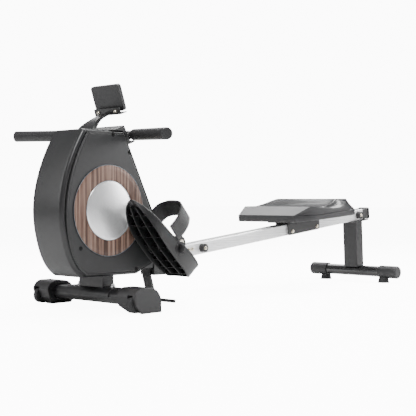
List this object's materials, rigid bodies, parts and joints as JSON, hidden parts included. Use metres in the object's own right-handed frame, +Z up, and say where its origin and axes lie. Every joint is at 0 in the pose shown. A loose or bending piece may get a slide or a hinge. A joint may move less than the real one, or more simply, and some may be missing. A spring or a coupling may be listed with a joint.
{
  "type": "rowing machine",
  "caption": "Compact folding magnetic rowing machine: flywheel housing, sloping rail with sliding seat, tilting footplates and pull handle.",
  "frame": {"origin": "middle of the length and width, on the floor the machine stands on", "axes": "+X from the housing to the rear leg, +Y across, +Z up"},
  "size_m": [1.4844, 0.6552, 0.6221],
  "materials": {
    "dark_shell": "satin moulded housing",
    "frame_paint": "satin black powder coat",
    "cap_plastic": "fine-textured moulded plastic",
    "wood_look": "walnut veneer with upright grain",
    "silver_disc": "satin silver",
    "rubber_black": "matt",
    "screw_black": "blackened",
    "flywheel_iron": "machined",
    "shaft_steel": "bright",
    "bar_steel": "bright",
    "foam": "closed-cell foam",
    "webbing": "woven nylon webbing",
    "brass_bolt": "yellow zinc",
    "rail_aluminium": "anodised, brushed lengthwise",
    "gloss_black": "gloss black",
    "seat_foam": "moulded polyurethane skin",
    "nylon_white": "nylon",
    "pedal_plastic": "moulded nylon",
    "screen_glass": "dark display window",
    "magnet": "plated"
  },
  "bodies": {
    "root": {"front_stabiliser": "frame_paint", "frame_post": "frame_paint", "saddle_bolts": "shaft_steel", "front_cap_left": "cap_plastic", "front_cap_right": "cap_plastic", "wheel_pins": "shaft_steel", "frame_beam": "frame_paint", "fold_bracket": "frame_paint", "fold_pin": "brass_bolt", "mid_strut": "frame_paint", "centre_shell": "dark_shell", "left_side_cover": "dark_shell", "right_side_cover": "dark_shell", "left_wood_ring": "wood_look", "right_wood_ring": "wood_look", "left_centre_disc": "silver_disc", "right_centre_disc": "silver_disc", "cover_screws": "screw_black", "drive_axles": "shaft_steel", "magnet_yoke": "magnet", "drive_belt": "rubber_black", "handle_cradle": "cap_plastic", "pull_strap": "webbing", "console_arm": "frame_paint", "console_bolts": "brass_bolt", "pedal_axle": "shaft_steel", "axle_end_nuts": "screw_black"},
    "wheel_left": {"transport_wheel_left": "rubber_black"},
    "wheel_right": {"transport_wheel_right": "rubber_black"},
    "flywheel": {"flywheel": "flywheel_iron"},
    "reel": {"strap_reel": "nylon_white"},
    "handle": {"handle_bar": "bar_steel", "grip_left": "foam", "grip_right": "foam", "grip_end_caps": "foam", "strap_clamp": "cap_plastic"},
    "console": {"console_back": "cap_plastic", "console_front": "cap_plastic", "console_window": "screen_glass"},
    "rail_arm": {"rail": "rail_aluminium", "rail_insert": "frame_paint", "rail_bolts": "brass_bolt", "rail_bumpers": "rubber_black", "rail_end_cap": "cap_plastic", "rear_leg": "frame_paint", "rear_stabiliser": "gloss_black", "rear_cap_left": "cap_plastic", "rear_cap_right": "cap_plastic", "rear_feet": "rubber_black"},
    "carriage": {"seat_pad": "seat_foam", "carriage_frame": "frame_paint", "glide_pads": "nylon_white", "carriage_bolts": "brass_bolt", "roller_axles": "shaft_steel"},
    "roller_front": {"front_roller": "nylon_white"},
    "roller_rear": {"rear_roller": "nylon_white"},
    "pedal_left": {"footplate_left": "pedal_plastic", "foot_strap_left": "webbing"},
    "pedal_right": {"footplate_right": "pedal_plastic", "foot_strap_right": "webbing"}
  },
  "joints": [
    {"name": "transport_wheel_left_spin", "type": "hinge", "parent": "root", "child": "wheel_left", "pos_m": [-0.6081, -0.199, 0.025], "axis": [0, 1, 0], "continuous": true},
    {"name": "transport_wheel_right_spin", "type": "hinge", "parent": "root", "child": "wheel_right", "pos_m": [-0.6081, 0.199, 0.025], "axis": [0, 1, 0], "continuous": true},
    {"name": "flywheel_spin", "type": "hinge", "parent": "root", "child": "flywheel", "pos_m": [-0.5791, 0, 0.27], "axis": [0, 1, 0], "continuous": true},
    {"name": "handle_pull", "type": "slide", "parent": "root", "child": "handle", "axis": [1, 0, 0], "range_m": [0, 0.9], "stiffness_N_per_m": 15, "springref_m": -0.3},
    {"name": "reel_spin", "type": "hinge", "parent": "root", "child": "reel", "pos_m": [-0.5321, 0, 0.41], "axis": [0, 1, 0], "range_deg": [0, 1719.9]},
    {"name": "console_tilt", "type": "hinge", "parent": "root", "child": "console", "pos_m": [-0.52086, 0, 0.54853], "axis": [0, 1, 0], "range_deg": [-10, 10]},
    {"name": "rail_fold", "type": "hinge", "parent": "root", "child": "rail_arm", "pos_m": [-0.26436, 0, 0.17115], "axis": [0, -1, 0], "range_deg": [0, 80]},
    {"name": "seat_slide", "type": "slide", "parent": "rail_arm", "child": "carriage", "axis": [0.9942, 0, 0.108], "range_m": [-0.404, 0.231]},
    {"name": "roller_front_spin", "type": "hinge", "parent": "carriage", "child": "roller_front", "pos_m": [0.27742, 0, 0.23031], "axis": [0, 1, 0], "range_deg": [-2106, 1205]},
    {"name": "roller_rear_spin", "type": "hinge", "parent": "carriage", "child": "roller_rear", "pos_m": [0.39274, 0, 0.24283], "axis": [0, 1, 0], "range_deg": [-2106, 1205]},
    {"name": "footplate_left_tilt", "type": "hinge", "parent": "root", "child": "pedal_left", "pos_m": [-0.4321, -0.1395, 0.166], "axis": [0, -1, 0], "range_deg": [-15, 30]},
    {"name": "footplate_right_tilt", "type": "hinge", "parent": "root", "child": "pedal_right", "pos_m": [-0.4321, 0.1395, 0.166], "axis": [0, -1, 0], "range_deg": [-15, 30]}
  ],
  "couplings": [
    {"joint": "reel_spin", "follows": "handle_pull", "rad_per_m": 33.333},
    {"joint": "roller_front_spin", "follows": "seat_slide", "rad_per_m": 90.909},
    {"joint": "roller_rear_spin", "follows": "seat_slide", "rad_per_m": 90.909}
  ]
}
